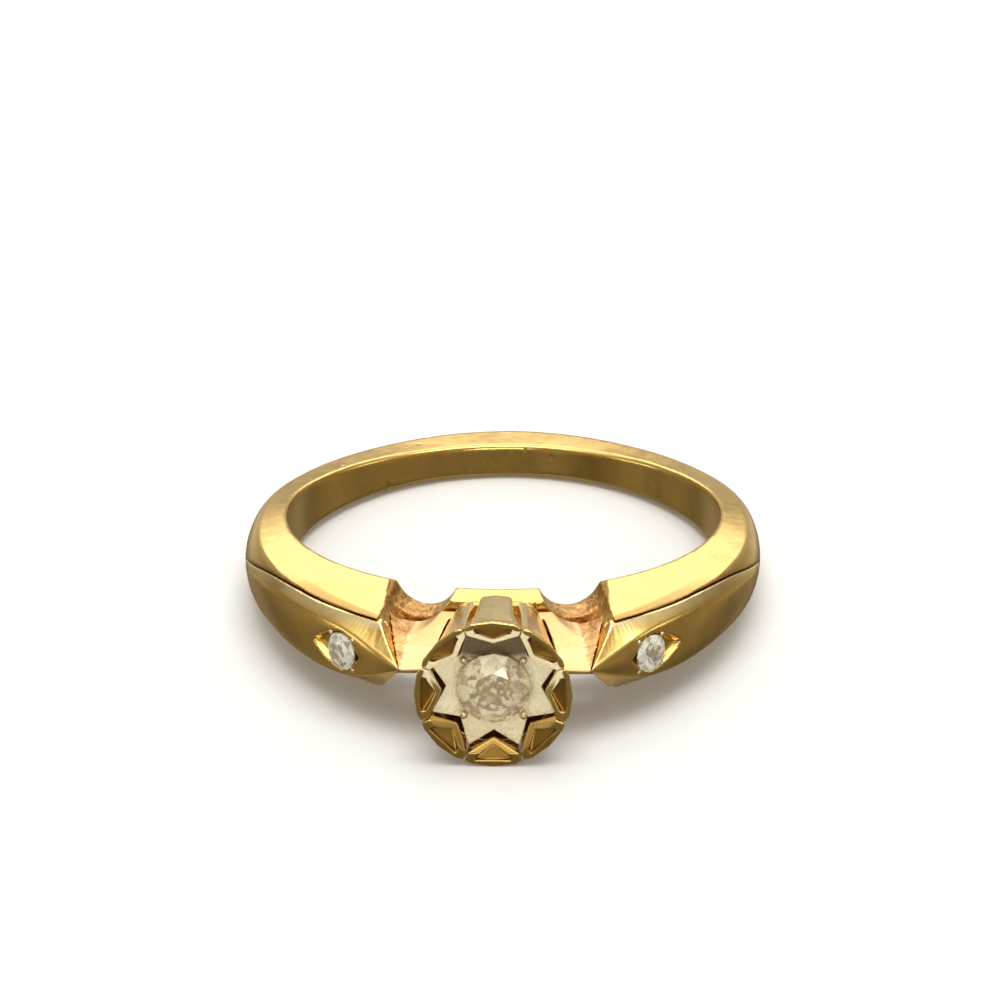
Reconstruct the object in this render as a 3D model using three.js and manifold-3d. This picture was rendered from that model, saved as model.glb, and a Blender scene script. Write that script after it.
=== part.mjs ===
// Illusion-set engagement ring in yellow gold: a D-section shank with leaf-shaped shoulders,
// an eight-petal crown, a star-cut plate and three round brilliants.
// Millimetres. The finger's axis is +Z, the crown points along -Y, and the origin is the
// centre of the finger hole. Angles round the hoop are measured from the crown.
import * as THREE from 'three';
import { ConvexGeometry } from 'three/addons/geometries/ConvexGeometry.js';
import { mergeVertices } from 'three/addons/utils/BufferGeometryUtils.js';
import Module from 'manifold-3d';

const wasm = await Module();
wasm.setup();

// ---- driving dimensions -------------------------------------------------------------------
const FINGER_RX = 8.54;          // finger hole, half size across
const FINGER_RY = 8.68;          // finger hole, half size towards the crown
const SEAM = 0.02;               // gap left where two pieces meet
const EDGE_BREAK = 0.16;         // worn chamfer along the finger hole

const HOOP_STEPS = 112;          // sections round the shank
const DOME_STEPS = 5;            // facets across half of the domed outside

const BRIDGE_R = 9.95;           // outside of the bridge that carries the crown
const NOTCH_X = 3.42;            // end of the shoulder on the mid-line
const NOTCH_SLOPE = 0.68;        // how far that end runs back towards each side face
const NOTCH_LEAN = 0.1;          // how fast the notch widens away from the finger
const NOTCH_PIVOT = 12;          // distance from the finger's axis where NOTCH_X is measured
const NOTCH_REACH = 20;          // far end of the notch cutter
const NOTCH_HALF_Z = 4;          // half height of the notch cutter
const SCOOP_X = 2.78;            // hollows that narrow the bridge beside the crown
const SCOOP_Z = 2.06;
const SCOOP_R = 1.3;
const SCOOP_LEAN = 11;           // degrees the hollows lean away from the crown
const SCOOP_PIVOT = 8.7;         // distance from the finger's axis where SCOOP_X is measured

const LEAF_TIP = 76;             // degrees: outer tip of the shoulder leaf
const LEAF_STEPS = 30;
const LEAF_DEPTH = 1.28;         // thickness of the leaf below its mid-line
const LEAF_START = 11;           // degrees: inner end of the leaf, inside the notch
const POCKET_START = 8;          // the pocket for it starts earlier and ends later
const POCKET_EXTRA = 0.15;
const POCKET_TOP = 1.5;          // how far the pocket carries on past the outside
const LIP = 0.1;                 // height of the groove's flare above the leaf's edge
const RIDGE_BLEND = [0.75, 0.5]; // point between ridge and mid-line: share of rise, of width
const GROOVE_FLARE = 0.18;       // opening of the groove between leaf and side face
const GROOVE_DEPTH = 0.14;

const NAVETTE_LENGTH = [1.0, 1.75]; // pointed recess: reach towards the crown, towards the tip
const NAVETTE_WIDTH = 1.6;
const NAVETTE_DEPTH = 0.34;
const NAVETTE_STEPS = 8;
const NAVETTE_FULLNESS = 1.7;    // exponent of the pointed outline
const SEAT_HEIGHT = 0.62;        // drilled cone under a side stone
const SEAT_SINK = 0.14;
const SIDE_STONE_R = 0.72;
const SIDE_STONE_ANGLE = 27.4;
const SIDE_STONE_SINK = 0.06;    // girdle below the leaf's surface
const SIDE_GRAIN_SINK = 0.1;

const GALLERY_T = [9.97, 10.3];  // span of the gallery plate along the crown's axis
const GALLERY_HALF = [1.6, 1.56];  // half size across and along the finger's axis
const GALLERY_CORNER = 0.66;
const GALLERY_HOLE_R = 1.1;
const CUP_T = [10.32, 14.0];     // span of the tapered cup
const CUP_R = [1.4, 2.42];       // its outside radius at each end
const CUP_WALL = 0.2;

const PETALS = 8;
const PETAL_T = [10.32, 14.9];   // petal claw, from gallery to rim
const PETAL_STEPS = 10;
const PETAL_ROUND = 0.06;        // rounding of a petal's outer corners
const PETAL_FACET = 0.75;        // where that rounding starts, as a share of the half angle
const HOOK_R = [1.88, 2.5, 2.74]; // bent-over tip: point, start of full width, inside of the rim
const PIT_R = [2.1, 2.5, 2.68];  // the same for the triangle sunk in it
const POINT_SPREAD = 0.02;       // half angle left at a point, so that it isn't a knife edge
const PIT_WIDTH = 0.66;          // its width as a share of the tip's
const HOOK_T = [14.46, 14.9];
const POINT_T = [14.36, 14.52];  // underside and top of the point itself
const PIT_DEPTH = 0.13;          // depth of the triangle sunk in each tip

const RAY_R = [2.38, 1.72, 1.0];  // star plate: radius of a ray's point, of its foot, of the middle
const RAY_T = [[14.12, 14.34], [13.92, 14.14], [13.74, 13.96]]; // underside and top at each
const DRILL_R = 1.24;            // hole through the plate under the stone
const DRILL_LENGTH = 4;
const RAY_OVERLAP = 0.002;       // lets neighbouring rays join up

const STONE_R = 1.36;            // centre brilliant
const STONE_GIRDLE_T = 14.3;
const GRAIN_R = 0.15;
const SIDE_GRAIN_R = 0.1;

const WEB = [[9.98, 1.2], [10.7, 0.94], [11.8, 0.52], [12.5, 0.22], [12.85, 0.08]];
const WEB_X = [1.5, 5.4];        // the webs are cut from a slab this long
const ROOM = 0.04;               // clearance between the crown and the webs

// ---- curves that vary round the hoop: [degrees from the crown, value] ------------------------
const OUTER_R = curve([[0, 13.4], [15, 13.26], [30, 12.36], [45, 11.53], [60, 10.86],
  [90, 10.06], [120, 10.12], [150, 10.48], [165, 10.72], [180, 10.84]]);
const HALF_WIDTH = curve([[0, 1.58], [30, 1.54], [45, 1.5], [60, 1.44], [90, 1.3],
  [120, 0.92], [145, 0.74], [158, 0.68], [169, 0.68], [180, 0.68]]);
const SIDE_FALL = curve([[0, 0.2], [45, 0.18], [90, 0.12], [145, 0.03], [158, 0], [169, 0], [180, 0]]);
const DOME_RISE = curve([[0, 1.0], [30, 0.8], [60, 0.78], [90, 0.72], [180, 0.45]]);
const LEAF_HALF = curve([[8, 1.26], [30, 1.26], [45, 1.16], [56, 0.97], [66, 0.6], [76, 0.12]]);
const LEAF_RIDGE_Z = curve([[8, 0.03], [15, 0.08], [20, 0.52], [25, 0.88], [31, 1.02], [45, 0.92],
  [56, 0.66], [66, 0.36], [76, 0.05]]);
const LEAF_EDGE_DROP = curve([[8, 1.0], [20, 0.86], [31, 0.62], [45, 0.52], [56, 0.34], [66, 0.13],
  [76, 0.03]]);
const LEAF_RIDGE_DROP = curve([[8, 0.02], [20, 0.12], [31, 0.17], [45, 0.18], [56, 0.13],
  [66, 0.05], [76, 0.01]]);
const GROOVE_FADE = curve([[8, 1], [45, 1], [60, 0.6], [76, 0.1]]);

// ---- curves along a petal, from gallery (0) to rim (1) ------------------------------------------
const PETAL_R = curve([[0, 1.98], [0.5, 2.32], [0.8, 2.6], [1, 2.88]]);
const PETAL_HALF_DEG = curve([[0, 18], [0.5, 19], [0.8, 20.8], [0.94, 21.9], [1, 21.9]]);

// ---- materials --------------------------------------------------------------------------------
const gold = (colour, roughness) =>
  new THREE.MeshStandardMaterial({ color: colour, metalness: 1, roughness });
const polished = () => gold(0xd9b45c, 0.2);
const satin = () => gold(0xcf9f58, 0.42);
const bright = () => gold(0xf0dc98, 0.12);
const diamond = () =>
  new THREE.MeshStandardMaterial({ color: 0xe9e6df, metalness: 0, roughness: 0.03 });

// ---- helpers ----------------------------------------------------------------------------------
function curve(knots) {
  const track = new THREE.CubicInterpolant(
    knots.map((k) => k[0]), knots.map((k) => k[1]), 1, new Float64Array(1));
  const last = knots[knots.length - 1][0];
  return (degrees) => track.evaluate(Math.min(Math.max(degrees, knots[0][0]), last))[0];
}

const mix = (pair, s) => THREE.MathUtils.lerp(pair[0], pair[1], s);
const rad = THREE.MathUtils.degToRad;

function fingerRadius(degrees) {
  const a = rad(degrees);
  return 1 / Math.hypot(Math.sin(a) / FINGER_RX, Math.cos(a) / FINGER_RY);
}

function onHoop(degrees, r, z) {
  return new THREE.Vector3(r * Math.sin(rad(degrees)), -r * Math.cos(rad(degrees)), z);
}

// Skins a row of closed sections; a row that doesn't close on itself gets two end caps.
function loft(sections, closed) {
  const points = sections.flat();
  const size = sections[0].length;
  const rows = sections.length;
  const index = [];
  const spans = closed ? rows : rows - 1;
  for (let i = 0; i < spans; i += 1) {
    const next = (i + 1) % rows;
    for (let j = 0; j < size; j += 1) {
      const k = (j + 1) % size;
      index.push(i * size + j, next * size + j, next * size + k);
      index.push(i * size + j, next * size + k, i * size + k);
    }
  }
  if (!closed) {
    [0, rows - 1].forEach((row) => {
      const centre = new THREE.Vector3();
      sections[row].forEach((p) => centre.addScaledVector(p, 1 / size));
      const hub = points.push(centre) - 1;
      for (let j = 0; j < size; j += 1) {
        const a = row * size + j;
        const b = row * size + (j + 1) % size;
        index.push(...(row === 0 ? [hub, a, b] : [hub, b, a]));
      }
    });
  }
  const geometry = new THREE.BufferGeometry().setFromPoints(points);
  geometry.setIndex(index);
  return facingOut(geometry);
}

// Turns every triangle over if the skin encloses a negative volume.
function facingOut(geometry) {
  const p = geometry.attributes.position;
  const index = geometry.index.array;
  const corner = (n) => new THREE.Vector3().fromBufferAttribute(p, index[n]);
  let volume = 0;
  for (let i = 0; i < index.length; i += 3) {
    volume += corner(i).dot(corner(i + 1).cross(corner(i + 2)));
  }
  if (volume < 0) {
    geometry.setIndex(Array.from(index).reverse());
  }
  return geometry;
}

function toSolid(geometry) {
  const bare = geometry.clone();
  Object.keys(bare.attributes).filter((k) => k !== 'position')
    .forEach((k) => bare.deleteAttribute(k));
  const welded = mergeVertices(bare, 1e-5);
  return new wasm.Manifold(new wasm.Mesh({
    numProp: 3,
    vertProperties: new Float32Array(welded.attributes.position.array),
    triVerts: new Uint32Array(welded.index.array),
  }));
}

function toGeometry(solid) {
  const result = solid.getMesh();
  const geometry = new THREE.BufferGeometry();
  geometry.setAttribute('position', new THREE.BufferAttribute(result.vertProperties, 3));
  geometry.setIndex(new THREE.BufferAttribute(result.triVerts, 1));
  return geometry;
}

const cut = (body, ...tools) =>
  tools.reduce((solid, tool) => solid.subtract(toSolid(tool)), body);

function piece(name, geometry, material) {
  const mesh = new THREE.Mesh(geometry, material);
  mesh.name = name;
  return mesh;
}

function prism(outline, depth) {
  const shape = new THREE.Shape(outline.map(([x, y]) => new THREE.Vector2(x, y)));
  return new THREE.ExtrudeGeometry(shape, { depth, bevelEnabled: false });
}

// ---- shank ------------------------------------------------------------------------------------
function bandSection(degrees) {
  const fold = Math.abs(degrees);
  const inner = fingerRadius(degrees);
  const half = HALF_WIDTH(fold);
  const shoulder = half - SIDE_FALL(fold);
  const rise = DOME_RISE(fold);
  const edge = OUTER_R(fold) - rise;
  const side = [[inner, half - EDGE_BREAK], [inner + EDGE_BREAK, half]];
  for (let i = 0; i < DOME_STEPS; i += 1) {
    const a = (i / DOME_STEPS) * Math.PI / 2;
    side.push([edge + rise * Math.sin(a), shoulder * Math.cos(a)]);
  }
  const lower = side.map(([r, z]) => [r, -z]).reverse();
  return [...side, [edge + rise, 0], ...lower].map(([r, z]) => onHoop(degrees, r, z));
}

function notchCutter(inset) {
  const near = NOTCH_X - inset;
  const reach = near + NOTCH_SLOPE * NOTCH_HALF_Z;
  const outline = [[-near, 0], [-reach, -NOTCH_HALF_Z], [reach, -NOTCH_HALF_Z],
    [near, 0], [reach, NOTCH_HALF_Z], [-reach, NOTCH_HALF_Z]];
  const block = prism(outline, NOTCH_REACH).rotateX(Math.PI / 2);
  const p = block.attributes.position;
  for (let i = 0; i < p.count; i += 1) {
    p.setX(i, p.getX(i) + Math.sign(p.getX(i)) * NOTCH_LEAN * (-p.getY(i) - NOTCH_PIVOT));
  }
  const floor = BRIDGE_R + inset;
  const bridge = new THREE.CylinderGeometry(floor, floor, 3 * NOTCH_HALF_Z, HOOP_STEPS);
  return toGeometry(cut(toSolid(block), bridge.rotateX(Math.PI / 2)));
}

function bridgeScoops() {
  const places = [[1, 1], [1, -1], [-1, 1], [-1, -1]];
  return places.map(([sideX, sideZ]) =>
    new THREE.CylinderGeometry(SCOOP_R, SCOOP_R, NOTCH_REACH, 32)
      .translate(0, SCOOP_PIVOT - NOTCH_REACH / 2, 0)
      .rotateZ(sideX * rad(SCOOP_LEAN))
      .translate(sideX * SCOOP_X, -SCOOP_PIVOT, sideZ * SCOOP_Z));
}

function buildBand() {
  const sections = [];
  for (let i = 0; i < HOOP_STEPS; i += 1) {
    sections.push(bandSection((i / HOOP_STEPS) * 360 - 180));
  }
  const body = toSolid(loft(sections, true));
  return toGeometry(cut(body, notch, ...bridgeScoops(), leafSkin(1, true), leafSkin(-1, true)));
}

// ---- shoulder leaves ----------------------------------------------------------------------------
// As a piece the skin is the leaf; as a pocket it is larger by the seam, opens out at the groove
// and carries on past the outside of the shank.
function leafSkin(hand, pocket) {
  const sections = [];
  const first = pocket ? POCKET_START : LEAF_START;
  const last = LEAF_TIP + (pocket ? POCKET_EXTRA : 0);
  for (let i = 0; i <= LEAF_STEPS; i += 1) {
    const degrees = first + ((last - first) * i) / LEAF_STEPS;
    const half = LEAF_HALF(degrees);
    const top = OUTER_R(degrees);
    const floor = top - LEAF_DEPTH;
    const edge = top - LEAF_EDGE_DROP(degrees);
    const ridge = [top - LEAF_RIDGE_DROP(degrees), LEAF_RIDGE_Z(degrees)];
    const flare = half + SEAM + GROOVE_FLARE * GROOVE_FADE(degrees);
    const groove = edge - GROOVE_DEPTH * GROOVE_FADE(degrees);
    const outline = pocket
      ? [[floor - SEAM, half + SEAM], [groove, half + SEAM], [edge + LIP, flare],
        [top + POCKET_TOP, flare]]
      : [[floor, half], [edge, half], ridge,
        [mix([ridge[0], top], RIDGE_BLEND[0]), RIDGE_BLEND[1] * ridge[1]], [top, 0]];
    const lower = outline.filter(([, z]) => z > 0).map(([r, z]) => [r, -z]).reverse();
    sections.push([...outline, ...lower].map(([r, z]) => onHoop(hand * degrees, r, z)));
  }
  return loft(sections, false);
}

// Local frame on the leaf: +Z out of its surface, +X along it towards the back of the ring.
function leafFrame(hand) {
  const step = 3;
  const ahead = onHoop(SIDE_STONE_ANGLE - step, OUTER_R(SIDE_STONE_ANGLE - step), 0);
  const behind = onHoop(SIDE_STONE_ANGLE + step, OUTER_R(SIDE_STONE_ANGLE + step), 0);
  const along = behind.sub(ahead).normalize();
  const origin = onHoop(SIDE_STONE_ANGLE, OUTER_R(SIDE_STONE_ANGLE), 0);
  const normal = new THREE.Vector3(-along.y, along.x, 0);
  if (normal.dot(origin) < 0) {
    normal.negate();
  }
  along.x *= hand;
  normal.x *= hand;
  origin.x *= hand;
  const across = normal.clone().cross(along);
  return new THREE.Matrix4().makeBasis(along, across, normal).setPosition(origin);
}

function navetteCutter(hand) {
  const outline = [];
  for (let i = -NAVETTE_STEPS; i < NAVETTE_STEPS; i += 1) {
    const s = i / NAVETTE_STEPS;
    outline.push([s, navetteHalf(s)]);
  }
  for (let i = NAVETTE_STEPS; i > -NAVETTE_STEPS; i -= 1) {
    const s = i / NAVETTE_STEPS;
    outline.push([s, -navetteHalf(s)]);
  }
  const placed = outline.map(([s, w]) => [s * NAVETTE_LENGTH[s < 0 ? 0 : 1], w]);
  const block = prism(placed, 2).translate(0, 0, -NAVETTE_DEPTH);
  const seat = new THREE.ConeGeometry(SIDE_STONE_R + SEAM, SEAT_HEIGHT, 24)
    .rotateX(-Math.PI / 2).translate(0, 0, -NAVETTE_DEPTH - SEAT_SINK);
  return toGeometry(toSolid(block).add(toSolid(seat))).applyMatrix4(leafFrame(hand));
}

function navetteHalf(s) {
  return (NAVETTE_WIDTH / 2) * (1 - Math.abs(s) ** NAVETTE_FULLNESS);
}

function buildLeaf(hand) {
  return toGeometry(cut(toSolid(leafSkin(hand, false)), notch, navetteCutter(hand)));
}

// ---- brilliants ---------------------------------------------------------------------------------
// Round brilliant with its girdle on the XY plane: table, kites, girdle band and culet.
function brilliant(radius, lift) {
  const points = [];
  const ring = (n, r, z, phase) => {
    for (let i = 0; i < n; i += 1) {
      const a = ((i + phase) / n) * 2 * Math.PI;
      points.push(new THREE.Vector3(r * Math.cos(a) * radius, r * Math.sin(a) * radius,
        z * radius + lift));
    }
  };
  ring(8, 0.56, 0.32, 0);
  ring(8, 0.80, 0.205, 0.5);
  ring(16, 1, 0.02, 0);
  ring(16, 1, -0.03, 0);
  ring(8, 0.24, -0.68, 0);
  points.push(new THREE.Vector3(0, 0, -0.86 * radius + lift));
  return new ConvexGeometry(points);
}

function bead(radius, x, y, z) {
  return new THREE.IcosahedronGeometry(radius, 1).translate(x, y, z);
}

// ---- crown, built about its own axis (+Z away from the finger) --------------------------------------
function tube(spanT, outer, inner) {
  const profile = [[inner[0], spanT[0]], [outer[0], spanT[0]],
    [outer[1], spanT[1]], [inner[1], spanT[1]], [inner[0], spanT[0]]];
  const geometry = new THREE.LatheGeometry(profile.map(([r, t]) => new THREE.Vector2(r, t)), 32);
  return facingOutIndexed(geometry.rotateX(Math.PI / 2));
}

function buildGallery() {
  const [x, z] = GALLERY_HALF;
  const c = GALLERY_CORNER;
  const height = GALLERY_T[1] - GALLERY_T[0];
  const shape = new THREE.Shape();
  shape.moveTo(x, z - c).quadraticCurveTo(x, z, x - c, z).lineTo(c - x, z);
  shape.quadraticCurveTo(-x, z, -x, z - c).lineTo(-x, c - z);
  shape.quadraticCurveTo(-x, -z, c - x, -z).lineTo(x - c, -z);
  shape.quadraticCurveTo(x, -z, x, c - z).closePath();
  const options = { depth: height, bevelEnabled: false, curveSegments: 5 };
  const slab = new THREE.ExtrudeGeometry(shape, options);
  const hole = new THREE.CylinderGeometry(GALLERY_HOLE_R, GALLERY_HOLE_R, 3 * height, 24)
    .rotateX(Math.PI / 2).translate(0, 0, GALLERY_T[0]);
  return toGeometry(cut(toSolid(slab.translate(0, 0, GALLERY_T[0])), hole));
}

function facingOutIndexed(geometry) {
  const bare = geometry.clone();
  bare.deleteAttribute('normal');
  bare.deleteAttribute('uv');
  return facingOut(mergeVertices(bare, 1e-5));
}

function cupRadius(t) {
  return mix(CUP_R, (t - CUP_T[0]) / (CUP_T[1] - CUP_T[0]));
}

function petal(turn) {
  const sections = [];
  for (let i = 0; i <= PETAL_STEPS; i += 1) {
    const s = i / PETAL_STEPS;
    const t = mix(PETAL_T, s);
    const half = rad(PETAL_HALF_DEG(s));
    const inner = cupRadius(Math.min(t, HOOK_T[0])) + SEAM;
    const outer = PETAL_R(s);
    const at = (a, r) => new THREE.Vector3(r * Math.cos(a + turn), r * Math.sin(a + turn), t);
    sections.push([at(-half, inner), at(-half / 2, inner), at(0, inner), at(half / 2, inner),
      at(half, inner), at(half, outer - PETAL_ROUND),
      at(half * PETAL_FACET, outer), at(0, outer), at(-half * PETAL_FACET, outer),
      at(-half, outer - PETAL_ROUND)]);
  }
  return loft(sections, false);
}

// Arrowhead pointing at the crown's axis; radii and [underside, top] run from its point outwards.
function arrowhead(radii, heights, halfAngle, turn) {
  const points = [];
  radii.forEach((r, row) => {
    const spread = row === 0 ? POINT_SPREAD : halfAngle;
    [turn - spread, turn + spread].forEach((a) => {
      heights[row].forEach((t) => points.push(new THREE.Vector3(r * Math.cos(a), r * Math.sin(a), t)));
    });
  });
  return new ConvexGeometry(points);
}

function buildClaw(turn) {
  const half = rad(PETAL_HALF_DEG(1));
  const hook = arrowhead(HOOK_R, [POINT_T, HOOK_T, HOOK_T], half, turn);
  const above = HOOK_T[1] + 1;
  const floors = PIT_R.map((r) => HOOK_T[1] - PIT_DEPTH
    - Math.max(0, HOOK_R[1] - r) * (HOOK_T[1] - POINT_T[1]) / (HOOK_R[1] - HOOK_R[0]));
  const pit = arrowhead(PIT_R, floors.map((t) => [t, above]), half * PIT_WIDTH, turn);
  return toGeometry(cut(toSolid(petal(turn)).add(toSolid(hook)), pit));
}

// Star of eight rays that point between the claws, drilled to seat the centre stone.
function buildPlate() {
  const half = Math.PI / PETALS + RAY_OVERLAP;
  let star = toSolid(arrowhead(RAY_R, RAY_T, half, Math.PI / PETALS));
  for (let i = 1; i < PETALS; i += 1) {
    const turn = ((2 * i + 1) * Math.PI) / PETALS;
    star = star.add(toSolid(arrowhead(RAY_R, RAY_T, half, turn)));
  }
  const drill = new THREE.CylinderGeometry(DRILL_R, DRILL_R, DRILL_LENGTH, 48)
    .rotateX(Math.PI / 2).translate(0, 0, RAY_T[2][0]);
  return toGeometry(cut(star, drill, brilliant(STONE_R + SEAM, STONE_GIRDLE_T)));
}

// Web that joins the crown to a shoulder: broad at the bridge, a ridge towards the rim.
function buildWeb(hand) {
  const outline = [...WEB, ...WEB.map(([t, half]) => [t, -half]).reverse()];
  const slab = prism(outline, WEB_X[1] - WEB_X[0]);
  slab.applyMatrix4(new THREE.Matrix4().makeBasis(new THREE.Vector3(0, -1, 0),
    new THREE.Vector3(0, 0, 1), new THREE.Vector3(-1, 0, 0)));
  slab.translate(hand > 0 ? WEB_X[1] : -WEB_X[0], 0, 0);
  const limit = toSolid(slab).intersect(toSolid(notchCutter(SEAM)));
  return toGeometry(cut(limit, crownEnvelope(), ...bridgeScoops()));
}

// Round body that holds the gallery and the petals with a little room to spare.
function crownEnvelope() {
  const base = Math.hypot(GALLERY_HALF[0] - GALLERY_CORNER, GALLERY_HALF[1]) + ROOM;
  const profile = [[0, FINGER_RY], [base, FINGER_RY], [base, PETAL_T[0]]];
  for (let i = 0; i <= PETAL_STEPS; i += 1) {
    const s = i / PETAL_STEPS;
    profile.push([Math.max(base, PETAL_R(s) + ROOM), mix(PETAL_T, s) + ROOM]);
  }
  profile.push([0, PETAL_T[1] + ROOM], [0, FINGER_RY]);
  const round = new THREE.LatheGeometry(profile.map(([r, t]) => new THREE.Vector2(r, t)), 64);
  return facingOutIndexed(round.rotateX(Math.PI));
}

// ---- assembly -----------------------------------------------------------------------------------
const notch = notchCutter(0);
const ring = new THREE.Group();
const crown = new THREE.Group();
crown.rotation.x = Math.PI / 2;
ring.add(crown);

ring.add(piece('shank_band', buildBand(), polished()));
[['left', -1], ['right', 1]].forEach(([label, hand]) => {
  ring.add(piece(`${label}_shoulder_leaf`, buildLeaf(hand), polished()));
  const seat = new THREE.Group();
  seat.applyMatrix4(leafFrame(hand));
  ring.add(seat);
  seat.add(piece(`${label}_shoulder_diamond`, brilliant(SIDE_STONE_R, -SIDE_STONE_SINK), diamond()));
  for (let i = 0; i < 4; i += 1) {
    const a = rad(45 + 90 * i);
    const r = SIDE_STONE_R + SIDE_GRAIN_R + SEAM;
    seat.add(piece(`${label}_grain_${i + 1}`,
      bead(SIDE_GRAIN_R, r * Math.cos(a), r * Math.sin(a), -SIDE_GRAIN_SINK), bright()));
  }
  ring.add(piece(`${label}_crown_web`, buildWeb(hand), satin()));
});

crown.add(piece('gallery_plate', buildGallery(), polished()));
crown.add(piece('crown_cup', tube(CUP_T, CUP_R, CUP_R.map((r) => r - CUP_WALL)), satin()));
for (let i = 0; i < PETALS; i += 1) {
  crown.add(piece(`petal_claw_${i + 1}`, buildClaw((i / PETALS) * 2 * Math.PI), polished()));
}
crown.add(piece('star_plate', buildPlate(), bright()));
crown.add(piece('centre_diamond', brilliant(STONE_R, STONE_GIRDLE_T), diamond()));
for (let i = 0; i < 4; i += 1) {
  const a = rad(45 + 90 * i);
  const r = STONE_R + GRAIN_R + SEAM;
  crown.add(piece(`centre_grain_${i + 1}`,
    bead(GRAIN_R, r * Math.cos(a), r * Math.sin(a), STONE_GIRDLE_T), bright()));
}

export default ring;
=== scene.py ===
"""Illusion-set gold engagement ring lying on a pale surface, lit by soft studio light."""
import math

import bmesh
import bpy
import numpy as np
from mathutils import Matrix, Vector, noise


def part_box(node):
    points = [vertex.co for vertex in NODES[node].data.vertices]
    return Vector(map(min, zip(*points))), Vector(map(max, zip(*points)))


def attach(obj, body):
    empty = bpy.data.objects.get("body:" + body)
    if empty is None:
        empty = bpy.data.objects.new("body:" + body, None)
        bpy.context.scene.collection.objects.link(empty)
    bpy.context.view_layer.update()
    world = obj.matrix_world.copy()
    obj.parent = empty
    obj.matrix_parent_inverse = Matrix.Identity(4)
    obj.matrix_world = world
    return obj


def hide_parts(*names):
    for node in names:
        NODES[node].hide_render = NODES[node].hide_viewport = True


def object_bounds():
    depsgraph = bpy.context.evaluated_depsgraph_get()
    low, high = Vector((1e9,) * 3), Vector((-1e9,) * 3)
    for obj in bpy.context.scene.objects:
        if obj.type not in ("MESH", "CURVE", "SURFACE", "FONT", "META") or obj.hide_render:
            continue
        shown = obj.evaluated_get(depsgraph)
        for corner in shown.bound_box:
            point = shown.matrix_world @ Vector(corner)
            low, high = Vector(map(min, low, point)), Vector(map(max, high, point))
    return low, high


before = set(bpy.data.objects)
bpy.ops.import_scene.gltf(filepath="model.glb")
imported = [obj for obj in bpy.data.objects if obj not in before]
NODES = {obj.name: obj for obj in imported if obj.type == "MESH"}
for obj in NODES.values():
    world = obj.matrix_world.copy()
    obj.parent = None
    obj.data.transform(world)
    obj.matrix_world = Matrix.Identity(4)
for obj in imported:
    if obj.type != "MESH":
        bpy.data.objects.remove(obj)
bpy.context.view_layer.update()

MM = 0.001
RNG = np.random.default_rng(7)

# ---- the ring's dimensions, in millimetres and degrees ------------------------------------------
# The finger's axis is Z and the crown points to -Y. Angles go round the hoop from the crown.
FINGER_RX, FINGER_RY = 8.54, 8.68
SEAM = 0.02                       # gap between neighbouring pieces
EDGE_BREAK = 0.16                 # rounding of the hoop's inner edges
BRIDGE_R = 9.95                   # outside of the bridge under the crown
NOTCH_X, NOTCH_SLOPE, NOTCH_LEAN, NOTCH_PIVOT = 3.42, 0.68, 0.1, 12.0
SCOOP_X, SCOOP_Z, SCOOP_R, SCOOP_LEAN, SCOOP_PIVOT = 2.78, 2.06, 1.3, 11.0, 8.7
SHANK_VOXEL, LEAF_VOXEL, RUB_ROUNDS, DENT_DEPTH = 0.05, 0.04, 9, 0.012
CUT_REACH, CUT_HALF_Z = 20, 4     # far end and half height of the notch and scoop cutters
LEAF_START, LEAF_TIP, LEAF_DEPTH = 11, 76.0, 1.28
LEAF_ARC_STEPS = 6
POCKET_START, POCKET_RUNOUT, POCKET_RISE = 8, 0.15, 1.5
GROOVE_FLARE, GROOVE_DEPTH, GROOVE_LIP = 0.18, 0.14, 0.1
NAVETTE_LENGTH, NAVETTE_WIDTH, NAVETTE_DEPTH = (1.0, 1.75), 1.6, 0.34
NAVETTE_FULLNESS = 1.7            # exponent of the pointed outline
SEAT_BELOW, SEAT_ABOVE = 0.45, 0.1
SIDE_STONE_R, SIDE_STONE_ANGLE, SIDE_STONE_SINK = 0.72, 27.4, 0.06
STONE_R, STONE_GIRDLE_T = 1.36, 14.3
CENTRE_GRAIN_R, SIDE_GRAIN_R = 0.15, 0.1
RIM_T = 14.9                      # from the finger's axis to the outermost point of the crown
PETALS = 8
PETAL_PITCH = 2 * math.pi / PETALS
PIT_R, PIT_HALF = (2.1, 2.5, 2.68), math.radians(21.9 * 0.66)


def curve(*knots):
    """Cubic Hermite curve through (degrees, value) knots, flat beyond its ends."""
    x = np.array([k[0] for k in knots], float)
    y = np.array([k[1] for k in knots], float)
    chord = np.diff(y) / np.diff(x)
    slope = np.concatenate([[chord[0]], (chord[:-1] + chord[1:]) / 2, [chord[-1]]])

    def at(v):
        v = np.clip(np.asarray(v, float), x[0], x[-1])
        i = np.clip(np.searchsorted(x, v, side="right") - 1, 0, len(x) - 2)
        h = x[i + 1] - x[i]
        s = (v - x[i]) / h
        return ((2 * s**3 - 3 * s**2 + 1) * y[i] + (s**3 - 2 * s**2 + s) * h * slope[i]
                + (-2 * s**3 + 3 * s**2) * y[i + 1] + (s**3 - s**2) * h * slope[i + 1])

    return at


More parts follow.
